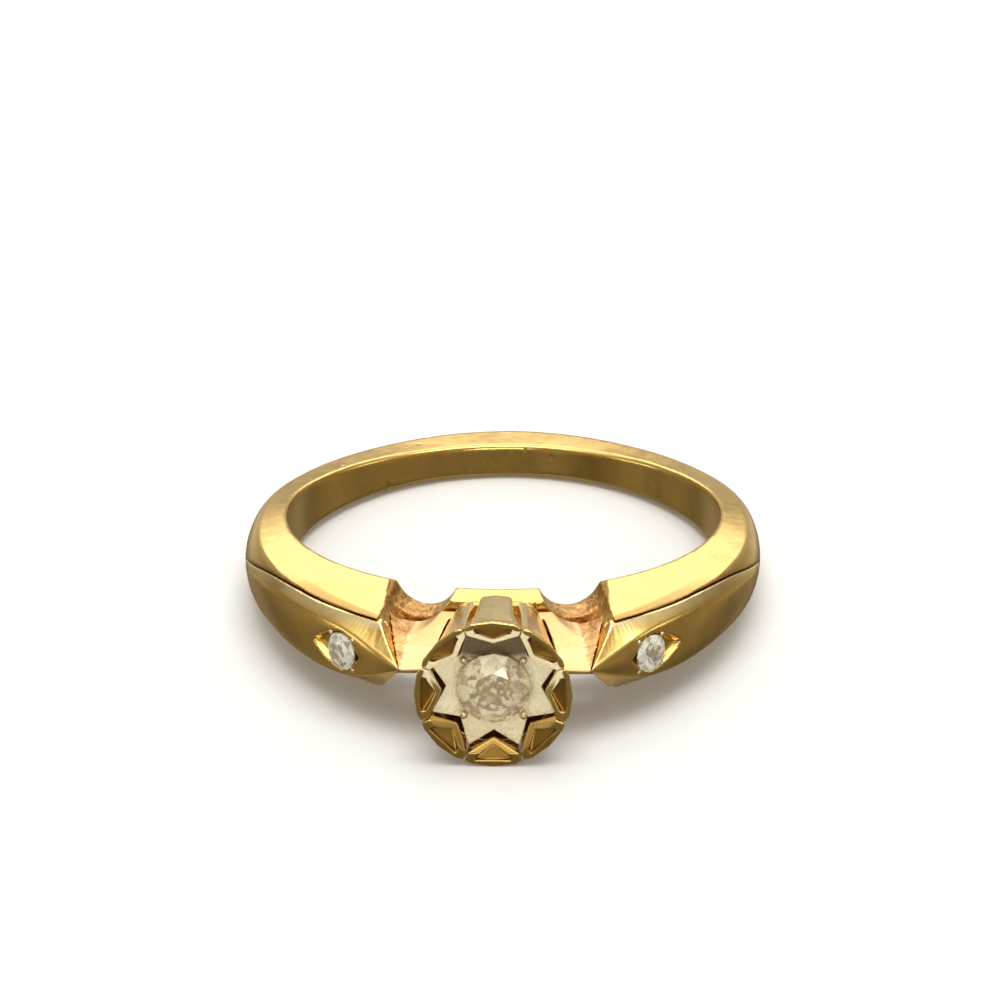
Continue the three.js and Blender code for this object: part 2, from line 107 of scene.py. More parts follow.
OUTER_R = curve((0, 13.4), (15, 13.26), (30, 12.36), (45, 11.53), (60, 10.86), (90, 10.06),
                (120, 10.12), (150, 10.48), (165, 10.72), (180, 10.84))
HALF_WIDTH = curve((0, 1.58), (30, 1.54), (45, 1.5), (60, 1.44), (90, 1.3), (120, 0.92),
                   (145, 0.74), (158, 0.68), (169, 0.68), (180, 0.68))
SIDE_FALL = curve((0, 0.2), (45, 0.18), (90, 0.12), (145, 0.03), (158, 0), (169, 0), (180, 0))
DOME_RISE = curve((0, 1.0), (30, 0.8), (60, 0.78), (90, 0.72), (180, 0.45))
LEAF_HALF = curve((8, 1.26), (30, 1.26), (45, 1.16), (56, 0.97), (66, 0.6), (76, 0.12))
LEAF_RIDGE_Z = curve((8, 0.03), (15, 0.08), (20, 0.52), (25, 0.88), (31, 1.02), (45, 0.92),
                     (56, 0.66), (66, 0.36), (76, 0.05))
LEAF_EDGE_DROP = curve((8, 1.0), (20, 0.86), (31, 0.62), (45, 0.52), (56, 0.34), (66, 0.13),
                       (76, 0.03))
LEAF_RIDGE_DROP = curve((8, 0.02), (20, 0.12), (31, 0.17), (45, 0.18), (56, 0.13), (66, 0.05),
                        (76, 0.01))
GROOVE_FADE = curve((8, 1), (45, 1), (60, 0.6), (76, 0.1))


# ---- mesh helpers -----------------------------------------------------------------------------
SPREAD_ROUNDS = 3                 # how far a hollow's mark spreads over the mesh


def finger_radius(degrees):
    """Radius of the slightly oval finger hole."""
    a = math.radians(degrees)
    return 1 / math.hypot(math.sin(a) / FINGER_RX, math.cos(a) / FINGER_RY)


def on_hoop(degrees, outline):
    """Points at (radius, height) in the half-plane through the finger's axis."""
    a = math.radians(degrees)
    return [(r * math.sin(a), -r * math.cos(a), z) for r, z in outline]


def new_object(name, mesh):
    obj = bpy.data.objects.new(name, mesh)
    bpy.context.scene.collection.objects.link(obj)
    return obj


def outward(mesh):
    """Merges doubled points and turns every face outward."""
    bm = bmesh.new()
    bm.from_mesh(mesh)
    bmesh.ops.remove_doubles(bm, verts=bm.verts, dist=1e-5)
    bmesh.ops.recalc_face_normals(bm, faces=bm.faces)
    bm.to_mesh(mesh)
    bm.free()
    return mesh


def loft(name, sections, closed):
    """Skins sections of equal length into a closed body; closed joins the last to the first."""
    rows, size = len(sections), len(sections[0])
    points = [p for section in sections for p in section]
    faces = []
    for i in range(rows if closed else rows - 1):
        n = (i + 1) % rows
        for j in range(size):
            k = (j + 1) % size
            faces.append((i * size + j, n * size + j, n * size + k, i * size + k))
    if not closed:
        faces.append(tuple(range(size)))
        faces.append(tuple(range((rows - 1) * size, rows * size)))
    mesh = bpy.data.meshes.new(name)
    mesh.from_pydata(points, [], faces)
    return new_object(name, outward(mesh))


def prism(name, outline, low, high):
    """Outline in X and Y, extruded along Z."""
    return loft(name, [[(x, y, low) for x, y in outline], [(x, y, high) for x, y in outline]], False)


def cylinder(name, radius, low, high, steps):
    turn = [2 * math.pi * i / steps for i in range(steps)]
    return prism(name, [(radius * math.cos(a), radius * math.sin(a)) for a in turn], low, high)


def place(obj, matrix):
    """Moves the mesh by matrix."""
    obj.data.transform(matrix)
    return obj


def apply_modifiers(obj):
    """Gives obj the mesh that its modifiers make."""
    bpy.context.view_layer.update()
    graph = bpy.context.evaluated_depsgraph_get()
    mesh = bpy.data.meshes.new_from_object(obj.evaluated_get(graph))
    obj.modifiers.clear()
    old = obj.data
    obj.data = mesh
    bpy.data.meshes.remove(old)


def drop(obj):
    """Deletes obj and its mesh."""
    mesh = obj.data
    bpy.data.objects.remove(obj)
    bpy.data.meshes.remove(mesh)


def cut(obj, *tools):
    """Cuts each tool out of obj and deletes the tool."""
    for tool in tools:
        mod = obj.modifiers.new("cut", "BOOLEAN")
        mod.operation = "DIFFERENCE"
        mod.solver = "EXACT"
        mod.object = tool
        apply_modifiers(obj)
        drop(tool)
    return obj


def worn(obj, voxel, rounds):
    """Re-skins a solid finely and rubs its edges soft."""
    mod = obj.modifiers.new("skin", "REMESH")
    mod.mode = "VOXEL"
    mod.voxel_size = voxel
    mod.use_smooth_shade = True
    mod = obj.modifiers.new("rub", "SMOOTH")
    mod.factor = 0.5
    mod.iterations = rounds
    apply_modifiers(obj)


def coords(mesh):
    co = np.empty(len(mesh.vertices) * 3, np.float32)
    mesh.vertices.foreach_get("co", co)
    return co.reshape(-1, 3).astype(float)


def normals(mesh):
    no = np.empty(len(mesh.vertices) * 3, np.float32)
    mesh.vertex_normals.foreach_get("vector", no)
    return no.reshape(-1, 3).astype(float)


def set_coords(mesh, co):
    mesh.vertices.foreach_set("co", co.astype(np.float32).ravel())
    mesh.update()


def write_attribute(mesh, name, values):
    attribute = mesh.attributes.new(name, "FLOAT", "POINT")
    attribute.data.foreach_set("value", np.asarray(values, np.float32))


def hollowness(mesh):
    """How far each vertex lies below (+) or above (-) its neighbourhood, per millimetre."""
    co, no = coords(mesh), normals(mesh)
    ends = np.empty(len(mesh.edges) * 2, np.int32)
    mesh.edges.foreach_get("vertices", ends)
    a, b = ends[0::2], ends[1::2]
    count = np.maximum(np.bincount(a, minlength=len(co)) + np.bincount(b, minlength=len(co)), 1)

    def average(v):
        return (np.bincount(a, v[b], len(co)) + np.bincount(b, v[a], len(co))) / count

    mean = np.stack([average(co[:, i]) for i in range(3)], 1)
    value = ((mean - co) * no).sum(1)
    for _ in range(SPREAD_ROUNDS):
        value = 0.5 * value + 0.5 * average(value)
    return value


def ripple(co, scale, seed):
    """Smooth noise from -1 to 1 at each point."""
    shift = Vector((seed * 3.1, seed * 1.7, seed * 2.3))
    return np.array([noise.noise(Vector(p) * scale + shift) for p in co])


def smoothstep(low, high, v):
    s = np.clip((v - low) / (high - low), 0, 1)
    return s * s * (3 - 2 * s)


def finish_piece(obj, name, material, slot, *nodes):
    """Scales a millimetre mesh to metres and lets it stand for its CAD nodes."""
    obj.name = obj.data.name = name
    obj.data.transform(Matrix.Scale(MM, 4))
    obj.data.materials.clear()
    obj.data.materials.append(material)
    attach(obj, "root")
    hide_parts(*nodes)


def from_node(node):
    """A millimetre copy of a CAD node's mesh."""
    obj = new_object(node + "_copy", NODES[node].data.copy())
    obj.data.transform(Matrix.Scale(1 / MM, 4))
    obj.data.materials.clear()
    outward(obj.data)
    return obj


# ---- materials --------------------------------------------------------------------------------
class Nodes:
    """Short hand for building a material's node tree."""

    def __init__(self, name):
        self.material = bpy.data.materials.new(name)
        self.material.use_nodes = True
        self.tree = self.material.node_tree
        self.shader = self.tree.nodes["Principled BSDF"]
        where = self.add("ShaderNodeTexCoord")
        scale = self.add("ShaderNodeVectorMath", operation="SCALE")
        scale.inputs["Scale"].default_value = 1 / MM
        self.link(where.outputs["Object"], scale.inputs[0])
        self.mm = scale.outputs[0]

    def add(self, kind, **settings):
        node = self.tree.nodes.new(kind)
        for key, value in settings.items():
            setattr(node, key, value)
        return node

    def link(self, a, b):
        self.tree.links.new(a, b)

    def mapped(self, scale, turn=(0, 0, 0)):
        node = self.add("ShaderNodeMapping")
        node.inputs["Scale"].default_value = scale
        node.inputs["Rotation"].default_value = turn
        self.link(self.mm, node.inputs["Vector"])
        return node.outputs[0]

    def noise(self, scale, detail, rough=0.55, vector=None):
        node = self.add("ShaderNodeTexNoise")
        node.inputs["Scale"].default_value = scale
        node.inputs["Detail"].default_value = detail
        node.inputs["Roughness"].default_value = rough
        self.link(vector or self.mm, node.inputs["Vector"])
        return node.outputs["Fac"]

    def ramp(self, value, *stops):
        node = self.add("ShaderNodeValToRGB")
        marks = node.color_ramp.elements
        while len(marks) < len(stops):
            marks.new(0.5)
        for mark, (at, colour) in zip(marks, stops):
            mark.position = at
            mark.color = (*colour, 1) if isinstance(colour, tuple) else (colour,) * 3 + (1,)
        self.link(value, node.inputs[0])
        return node.outputs[0]

    def attribute(self, name):
        return self.add("ShaderNodeAttribute", attribute_name=name).outputs["Fac"]

    def math(self, operation, a, b):
        node = self.add("ShaderNodeMath", operation=operation)
        for socket, value in zip(node.inputs, (a, b)):
            if isinstance(value, (int, float)):
                socket.default_value = value
            else:
                self.link(value, socket)
        return node.outputs[0]

    def mix(self, factor, a, b):
        node = self.add("ShaderNodeMix", data_type="RGBA")
        for socket, value in zip((node.inputs[0], node.inputs[6], node.inputs[7]), (factor, a, b)):
            if isinstance(value, tuple):
                socket.default_value = (*value, 1)
            elif isinstance(value, (int, float)):
                socket.default_value = value
            else:
                self.link(value, socket)
        return node.outputs[2]

    def bump(self, height, distance, strength, below=None):
        node = self.add("ShaderNodeBump")
        node.inputs["Strength"].default_value = strength
        node.inputs["Distance"].default_value = distance
        self.link(height, node.inputs["Height"])
        if below is not None:
            self.link(below, node.inputs["Normal"])
        return node.outputs[0]


# colour of the painted highlight on edges
EDGE_HIGHLIGHT_COLOUR = (1.0, 0.87, 0.54)
EDGE_METALLIC = 0.25              # a painted edge highlight scatters more light than it mirrors


def gold(name, base, deep, roughness, recess_colour, metallic=1.0, sparkle=0.0):
    """Worn yellow gold: tarnish and painted shade in the hollows, painted highlights on edges, with
    drift and scratches.
    """
    n = Nodes(name)
    tone = n.ramp(n.noise(0.35, 3), (0.35, base), (0.7, tuple(c * k for c, k in
                                                              zip(base, (0.97, 0.92, 0.82)))))
    blotch = n.ramp(n.noise(1.3, 4), (0.45, 0.0), (0.75, 0.35))
    hollow = n.attribute("hollow")
    # random dirt blotches and the hollow attribute, which holds tarnish and painted shade
    dirt_and_shade = n.math("MAXIMUM", hollow, n.math("MULTIPLY", blotch, 0.35))
    # the edge attribute mixes in the painted edge highlight
    colour = n.mix(dirt_and_shade, n.mix(n.attribute("edge"), tone, EDGE_HIGHLIGHT_COLOUR), deep)
    rough = n.ramp(n.noise(1.8, 3), (0.3, roughness * 0.8), (0.75, roughness * 1.3))
    rough = n.math("ADD", rough, n.math("MULTIPLY", dirt_and_shade, 0.15))
    scratch_a = n.ramp(n.noise(1.0, 2, 0.5, n.mapped((26, 1.6, 26), (0.2, 0.5, 0.9))),
                       (0.62, 0.0), (0.68, 1.0))
    scratch_b = n.ramp(n.noise(1.0, 2, 0.5, n.mapped((1.3, 30, 30), (0.7, 0.1, -0.5))),
                       (0.63, 0.0), (0.69, 1.0))
    scratches = n.math("MAXIMUM", scratch_a, scratch_b)
    rough = n.math("ADD", rough, n.math("MULTIPLY", scratches, 0.04))
    recess = n.attribute("recess")
    cast = n.ramp(n.noise(2.6, 4), (0.38, recess_colour),
                  (0.62, tuple(c * k for c, k in zip(recess_colour, (0.6, 0.5, 0.4)))))
    colour = n.mix(recess, colour, n.mix(hollow, cast, deep))
    rough = n.math("ADD", rough, n.math("MULTIPLY", recess, 0.22))
    normal = n.bump(n.noise(0.9, 2), 0.00005, 0.25)
    normal = n.bump(scratches, -0.000002, 0.3, normal)
    normal = n.bump(n.math("MULTIPLY", recess, n.noise(7.0, 4)), 0.00009, 0.8, normal)
    if sparkle:
        normal = n.bump(n.noise(4.5, 3), 0.00012, sparkle, normal)
    n.link(colour, n.shader.inputs["Base Color"])
    n.link(rough, n.shader.inputs["Roughness"])
    n.link(normal, n.shader.inputs["Normal"])
    # painted edge highlights are made less metallic, so they show pale
    mirror = n.ramp(n.attribute("edge"), (0.6, metallic), (0.92, min(metallic, EDGE_METALLIC)))
    n.link(mirror, n.shader.inputs["Metallic"])
    return n.material


def diamond_material(name, dark, light):
    """Painted reflections: facets bright or dull by a "facet" value, broken up by painted shade and
    painted glints.
    """
    n = Nodes(name)
    facet = n.attribute("facet")
    # painted dull reflection, mottled
    dull_reflection = n.ramp(n.noise(1.9, 4), (0.35, dark), (0.7, tuple(min(1, c * 1.5) for c in dark)))
    glint = n.ramp(n.noise(4.2, 2), (0.50, 0.0), (0.56, 1.0))
    shade = n.ramp(n.noise(3.1, 2), (0.40, 1.0), (0.46, 0.0))
    amount = n.math("MAXIMUM", facet, n.math("MULTIPLY", glint, 0.8))
    amount = n.math("MULTIPLY", amount, n.math("SUBTRACT", 1.0, n.math("MULTIPLY", shade, 0.6)))
    n.link(n.mix(amount, dull_reflection, light), n.shader.inputs["Base Color"])
    n.link(n.ramp(n.noise(4.0, 3), (0.3, 0.22), (0.8, 0.4)), n.shader.inputs["Roughness"])
    n.shader.inputs["Metallic"].default_value = 0.2
    n.shader.inputs["Transmission Weight"].default_value = 0.15
    n.shader.inputs["IOR"].default_value = 2.42
    return n.material


GOLD = gold("worn_polished_gold", (0.86, 0.60, 0.20), (0.36, 0.20, 0.04), 0.20,
            (0.92, 0.56, 0.22))
CAST_GOLD = gold("cast_gold", (0.92, 0.62, 0.30), (0.42, 0.22, 0.07), 0.30, (0.94, 0.60, 0.27))
BRIGHT_GOLD = gold("bright_cut_gold", (0.98, 0.88, 0.66), (0.45, 0.30, 0.12), 0.34,
                   (0.9, 0.7, 0.4))
# its very dark deep colour mostly carries the painted shade on the upper rays
STAR_GOLD = gold("star_cut_pale_gold", (1.0, 0.91, 0.64), (0.12, 0.07, 0.025), 0.36,
                 (0.9, 0.7, 0.4), metallic=0.15, sparkle=1.0)
# dark and light are the colours of the painted reflections in the stones
CENTRE_DIAMOND = diamond_material("centre_diamond_glass", (0.36, 0.25, 0.12), (1.0, 0.90, 0.64))
SIDE_DIAMOND = diamond_material("side_diamond_glass", (0.30, 0.25, 0.16), (1.0, 0.97, 0.86))


# ---- shank and shoulders ----------------------------------------------------------------------
def band_section(degrees):
    """The hoop's section: broken inner edges, flat sides and an elliptical outside."""
    fold = abs(degrees)
    inner, half = finger_radius(degrees), float(HALF_WIDTH(fold))
    shoulder = half - float(SIDE_FALL(fold))
    rise = float(DOME_RISE(fold))
    edge = float(OUTER_R(fold)) - rise
    side = [(inner, half - EDGE_BREAK)]
    for a in (0.3, 0.6, 0.9, 1.2):
        side.append((inner + EDGE_BREAK * (1 - math.cos(a)), half - EDGE_BREAK * (1 - math.sin(a))))
    side.append((inner + EDGE_BREAK, half))
    dome_steps = 14
    for i in range(dome_steps):
        a = i / dome_steps * math.pi / 2
        side.append((edge + rise * math.sin(a), shoulder * math.cos(a)))
    lower = [(r, -z) for r, z in reversed(side)]
    return on_hoop(degrees, side + [(edge + rise, 0.0)] + lower)


def notch_cutter():
    """The V-shaped gap between the shoulders, stopped by the bridge."""
    reach = NOTCH_X + NOTCH_SLOPE * CUT_HALF_Z
    outline = [(-NOTCH_X, 0), (-reach, -CUT_HALF_Z), (reach, -CUT_HALF_Z),
               (NOTCH_X, 0), (reach, CUT_HALF_Z), (-reach, CUT_HALF_Z)]
    block = prism("notch", outline, 0, CUT_REACH)
    block.data.transform(Matrix.Rotation(math.pi / 2, 4, "X"))
    outward(block.data)
    for vertex in block.data.vertices:
        lean = NOTCH_LEAN * (-vertex.co.y - NOTCH_PIVOT)
        vertex.co.x += math.copysign(lean, lean * vertex.co.x)
    half_height = 1.5 * CUT_HALF_Z
    return cut(block, cylinder("bridge", BRIDGE_R, -half_height, half_height, 240))


def scoop_cutter(x, z):
    """A round gouge that narrows the bridge, leaning outwards."""
    rod = cylinder("scoop", SCOOP_R, -SCOOP_PIVOT, CUT_REACH - SCOOP_PIVOT, 64)
    lean = Matrix.Rotation(math.radians(math.copysign(SCOOP_LEAN, x)), 4, "Z")
    rod.data.transform(Matrix.Translation((x, -SCOOP_PIVOT, z)) @ lean
                       @ Matrix.Rotation(math.pi / 2, 4, "X"))
    return rod


def leaf_skin(hand, pocket):
    """The raised leaf on a shoulder, or the pocket cut for it with the groove along its edge."""
    sections = []
    first, last = (POCKET_START, LEAF_TIP + POCKET_RUNOUT) if pocket else (LEAF_START, LEAF_TIP)
    for degrees in np.linspace(first, last, 80):
        half, top = float(LEAF_HALF(degrees)), float(OUTER_R(degrees))
        edge = top - float(LEAF_EDGE_DROP(degrees))
        ridge = (top - float(LEAF_RIDGE_DROP(degrees)), float(LEAF_RIDGE_Z(degrees)))
        floor = top - LEAF_DEPTH
        fade = float(GROOVE_FADE(degrees))
        flare = half + SEAM + GROOVE_FLARE * fade
        if pocket:
            outline = [(floor - SEAM, half + SEAM), (edge - GROOVE_DEPTH * fade, half + SEAM),
                       (edge + GROOVE_LIP, flare), (top + POCKET_RISE, flare)]
        else:
            outline = [(floor, half), (edge, half)]
            for i in range(LEAF_ARC_STEPS):
                a = i / LEAF_ARC_STEPS * math.pi / 2
                outline.append((ridge[0] + (top - ridge[0]) * math.sin(a), ridge[1] * math.cos(a)))
            outline.append((top, 0))
        lower = [(r, -z) for r, z in reversed(outline) if z > 0]
        sections.append(on_hoop(hand * degrees, outline + lower))
    return loft("leaf_skin", sections, False)


def leaf_frame(hand):
    """Placement on the leaf's surface at its stone: X along the hoop, Z outwards."""
    def mid(degrees):
        return Vector(on_hoop(degrees, [(float(OUTER_R(degrees)), 0)])[0])

    along = (mid(SIDE_STONE_ANGLE + 3) - mid(SIDE_STONE_ANGLE - 3)).normalized()
    origin = mid(SIDE_STONE_ANGLE)
    normal = Vector((-along.y, along.x, 0))
    if normal.dot(origin) < 0:
        normal.negate()
    for v in (along, origin, normal):
        v.x *= hand
    across = normal.cross(along)
    m = Matrix((along, across, normal)).transposed().to_4x4()
    m.translation = origin
    return m


def navette_half(s):
    return NAVETTE_WIDTH / 2 * (1 - abs(s) ** NAVETTE_FULLNESS)


def navette_cutter(hand):
    """The pointed recess round a shoulder stone, its walls cut at a slope."""
    stations = np.linspace(-1, 1, 33)
    upper = [(s * NAVETTE_LENGTH[0 if s < 0 else 1], navette_half(s)) for s in stations]
    outline = upper + [(x, -w) for x, w in reversed(upper[1:-1])]
    levels = [(-NAVETTE_DEPTH, 0.8), (0.05, 1.0), (1.5, 1.3)]
    tool = loft("navette", [[(x * k, y * k, z) for x, y in outline] for z, k in levels], False)
    return place(tool, leaf_frame(hand))


def seat_cutter(hand):
    tool = cylinder("seat", SIDE_STONE_R + SEAM, -NAVETTE_DEPTH - SEAT_BELOW,
                    -NAVETTE_DEPTH + SEAT_ABOVE, 48)
    return place(tool, leaf_frame(hand))


def in_notch(co):
    """1 inside the cast recess beside the crown, 0 on polished gold."""
    reach = (NOTCH_X + NOTCH_SLOPE * np.abs(co[:, 2])
             + NOTCH_LEAN * (-co[:, 1] - NOTCH_PIVOT))
    r = np.hypot(co[:, 0], co[:, 1])
    inside = smoothstep(0.06, -0.02, np.abs(co[:, 0]) - reach) * (co[:, 1] < 0)
    return inside * smoothstep(8.75, 8.9, r) * smoothstep(1.9, 2.3, np.abs(co[:, 0]))


def dress(obj, hollow_gain, recess_mask=None, dents=0.0, edge_gain=60.0, painted_shade_mask=None,
          bright_mask=None):
    """Adds the small irregularities of a worn casting and the masks its material reads, with painted
    shade and painted highlights.
    """
    mesh = obj.data
    co, no = coords(mesh), normals(mesh)
    shift = 0.006 * ripple(co, 0.6, 1)
    recess = np.zeros(len(co))
    painted_shade = painted_shade_mask(co) if painted_shade_mask else 0.0
    painted_highlight = bright_mask(co) if bright_mask else 0.0
    if recess_mask:
        recess = recess_mask(co)
        shift += recess * (0.05 * ripple(co, 2.6, 2) + 0.035 * ripple(co, 6.5, 3))
    if dents:
        shift -= dents * smoothstep(0.55, 0.75, ripple(co, 1.7, 5))
    set_coords(mesh, co + no * shift[:, None])
    hollow = hollowness(mesh)
    # painted shade towards the top and bottom of a cast recess
    shaded = recess * smoothstep(0.85, 1.35, np.abs(co[:, 2]))
    # hollow: tarnish and painted shade in concave spots, plus painted shade from the masks
    write_attribute(mesh, "hollow", np.clip(hollow * hollow_gain + 0.9 * shaded + painted_shade, 0, 1))
    # edge: painted highlight on convex edges and where the highlight mask is set
    write_attribute(mesh, "edge", np.clip(-hollow * edge_gain - 0.15 + painted_highlight, 0, 1))
    write_attribute(mesh, "recess", recess)


def beside_groove(co):
    """Painted shade along the groove that parts the leaf from the side face."""
    turn = np.degrees(np.arctan2(np.abs(co[:, 0]), -co[:, 1]))
    off = np.abs(co[:, 2]) - LEAF_HALF(turn)
    r = np.hypot(co[:, 0], co[:, 1])
    outside = smoothstep(1.35, 1.1, OUTER_R(turn) - r) * (turn < LEAF_TIP)
    return 0.75 * outside * smoothstep(-0.05, 0.02, off) * smoothstep(0.26, 0.05, off)


def on_ridge(co):
    """Painted highlight on the leaf's edge along its groove."""
    turn = np.degrees(np.arctan2(np.abs(co[:, 0]), -co[:, 1]))
    off = LEAF_HALF(turn) - np.abs(co[:, 2])
    depth = LEAF_EDGE_DROP(turn) - (OUTER_R(turn) - np.hypot(co[:, 0], co[:, 1]))
    return 0.7 * smoothstep(0.30, 0.06, off) * smoothstep(-0.12, 0.0, depth)


def build_shank():
    """The hoop, cut for the notch, the scoops and the leaves' pockets."""
    sections = [band_section(d) for d in np.linspace(-180, 180, 360, endpoint=False)]
    band = loft("band", sections, True)
    scoops = [scoop_cutter(x, z) for x in (-SCOOP_X, SCOOP_X) for z in (-SCOOP_Z, SCOOP_Z)]
    cut(band, notch_cutter(), *scoops, leaf_skin(1, True), leaf_skin(-1, True))
    worn(band, SHANK_VOXEL, RUB_ROUNDS)
    # painted shade along the groove beside each leaf
    dress(band, 45, in_notch, DENT_DEPTH, painted_shade_mask=beside_groove)
    finish_piece(band, "shank", GOLD, "gold_polished", "shank_band")


def build_leaf(label, hand):
    """A raised shoulder leaf with its pointed recess and drilled seat."""
    leaf = cut(leaf_skin(hand, False), notch_cutter(), navette_cutter(hand), seat_cutter(hand))
    worn(leaf, LEAF_VOXEL, RUB_ROUNDS)
    # painted highlight along the leaf's edge by its groove
    dress(leaf, 60, dents=DENT_DEPTH, bright_mask=on_ridge)
    finish_piece(leaf, f"{label}_leaf", GOLD, "gold_polished", f"{label}_shoulder_leaf")


# ---- stones -----------------------------------------------------------------------------------
def brilliant(name, radius, matrix):
    """A round brilliant with its girdle at Z = 0, each facet given a painted reflection, bright or
    dull by chance.
    """
    points = []

    def ring(count, r, z, phase):
        for i in range(count):
            a = (i + phase) / count * 2 * math.pi
            points.append((r * radius * math.cos(a), r * radius * math.sin(a), z * radius))

    ring(8, 0.56, 0.32, 0)
    ring(8, 0.80, 0.215, 0.5)
    ring(16, 1.0, 0.02, 0)
    ring(16, 1.0, -0.03, 0)
    ring(8, 0.22, -0.69, 0)
    points.append((0, 0, -0.86 * radius))
    bm = bmesh.new()
    verts = [bm.verts.new(p) for p in points]
    bmesh.ops.convex_hull(bm, input=verts)
    bmesh.ops.dissolve_limit(bm, angle_limit=0.01, verts=bm.verts, edges=bm.edges)
    mesh = bpy.data.meshes.new(name)
    bm.to_mesh(mesh)
    bm.free()
    shades = mesh.attributes.new("facet", "FLOAT", "FACE")
    for face, shade in zip(mesh.polygons, shades.data):
        # painted reflection: the table dull, the other facets bright or dull at random
        table = face.normal.z > 0.98
        shade.value = 0.08 if table else float(RNG.choice((0.05, 0.35, 0.7, 1.0)))
    mesh.transform(matrix)
    return new_object(name, mesh)


def build_stones():
    crown = Matrix.Rotation(math.pi / 2, 4, "X")
    centre = brilliant("centre_brilliant", STONE_R,
                       crown @ Matrix.Translation((0, 0, STONE_GIRDLE_T)))
    finish_piece(centre, "centre_brilliant", CENTRE_DIAMOND, "diamond", "centre_diamond")
    for label, hand in (("left", -1), ("right", 1)):
        at = leaf_frame(hand) @ Matrix.Translation((0, 0, -SIDE_STONE_SINK))
        stone = brilliant(f"{label}_brilliant", SIDE_STONE_R, at)
        finish_piece(stone, f"{label}_brilliant", SIDE_DIAMOND, "diamond",
                     f"{label}_shoulder_diamond")


# ---- crown ------------------------------------------------------------------------------------
def roughcast(co):
    """1 on the rough floor beside the shoulder, 0 on the smooth rib beside the crown."""
    edge = 3.0 + 0.18 * (-co[:, 1] - 10)
    return smoothstep(-0.12, 0.12, np.abs(co[:, 0]) - edge)


def in_pit(co):
    """1 in the triangular pit in each claw's tip, where painted shade goes."""
    r = np.hypot(co[:, 0], co[:, 2])
    turn = np.arctan2(co[:, 2], co[:, 0])
    off = np.abs(turn - np.round(turn / PETAL_PITCH) * PETAL_PITCH)
    spread = np.interp(r, PIT_R, (0.0, PIT_HALF, PIT_HALF))
    inside = smoothstep(0.03, -0.01, off - spread) * smoothstep(PIT_R[0], PIT_R[0] + 0.06, r)
    return 0.85 * inside * (r < PIT_R[2]) * (co[:, 1] < -14.25)


def on_claws(co):
    """Painted shade in the claw pits and on the lower claws."""
    low = smoothstep(-0.9, -1.9, co[:, 2]) * smoothstep(13.9, 14.1, -co[:, 1])
    return np.maximum(in_pit(co), 0.6 * low)


def on_upper_tips(co):
    """Painted highlights on the rims of the bent-over tips and the upper claws, on the upper half of
    the crown.
    """
    r = np.hypot(co[:, 0], co[:, 2])
    tip = smoothstep(14.3, 14.45, -co[:, 1]) * smoothstep(2.75, 2.6, r)
    rim = 1.15 * tip * smoothstep(-0.6, 0.9, co[:, 2]) * (in_pit(co) < 0.3)
    return np.maximum(rim, 0.6 * smoothstep(0.6, 1.6, co[:, 2]) * (co[:, 1] > -14.3))


def under_upper_claws(co):
    """Painted shade on the upper rays of the star plate, beside and above the centre stone."""
    r = np.hypot(co[:, 0], co[:, 2])
    high = smoothstep(0.75, 1.15, co[:, 2] - 0.25 * np.abs(co[:, 0]))
    return 0.95 * high * smoothstep(1.2, 1.35, r)


def build_from_cad(node, name, material, slot, voxel, rounds, gain, recess=None, painted_shade=None,
                   edge_gain=60.0, painted_highlight=None):
    """Wears a CAD piece: voxel in mm, rounds of rubbing, gain of the tarnish and painted shade in
    its hollows.
    """
    piece = from_node(node)
    worn(piece, voxel, rounds)
    dress(piece, gain, recess, edge_gain=edge_gain, painted_shade_mask=painted_shade, bright_mask=painted_highlight)
    finish_piece(piece, name, material, slot, node)


def build_crown():
    build_from_cad("gallery_plate", "gallery", GOLD, "gold_polished", 0.04, 4, 100)
    build_from_cad("crown_cup", "cup", CAST_GOLD, "gold_satin", 0.04, 2, 100)
    # painted shade on the star plate's upper rays
    build_from_cad("star_plate", "star", STAR_GOLD, "gold_bright_cut", 0.025, 1, 40,
                   painted_shade=under_upper_claws)
    for label in ("left", "right"):
        build_from_cad(f"{label}_crown_web", f"{label}_web", CAST_GOLD, "gold_satin", 0.04, 6, 60,
                       roughcast)
    # painted shade in the claw pits and lower claws, painted highlights on the upper rims
    for i in range(1, PETALS + 1):
        build_from_cad(f"petal_claw_{i}", f"petal_{i}", GOLD, "gold_polished", 0.03, 4, 60,
                       painted_shade=on_claws, edge_gain=140.0, painted_highlight=on_upper_tips)


def build_grains():
    """A smooth bead on each CAD grain."""
    for node in sorted(NODES):
        if "grain" in node:
            radius = CENTRE_GRAIN_R if node.startswith("centre") else SIDE_GRAIN_R
            lo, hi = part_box(node)
            middle = (Vector(lo) + Vector(hi)) / 2 / MM
            bm = bmesh.new()
            bmesh.ops.create_icosphere(bm, subdivisions=3, radius=radius)
            mesh = bpy.data.meshes.new(node)
            bm.to_mesh(mesh)
            bm.free()
            mesh.transform(Matrix.Translation(middle))
            mesh.shade_smooth()
            bead = new_object(node, mesh)
            dress(bead, 0)
            finish_piece(bead, node + "_bead", BRIGHT_GOLD, "gold_bright_cut", node)


build_shank()
build_leaf("left", -1)
build_leaf("right", 1)
build_stones()
build_crown()
build_grains()


# ---- surface, light and camera ------------------------------------------------------------------
BACK_REST_Z = -0.62               # where the back of the shank meets the surface, in millimetres
DISTANCE = 0.15                   # camera to the middle of the finger hole, in metres
FOCAL_LENGTH = 3.782              # in widths of the picture


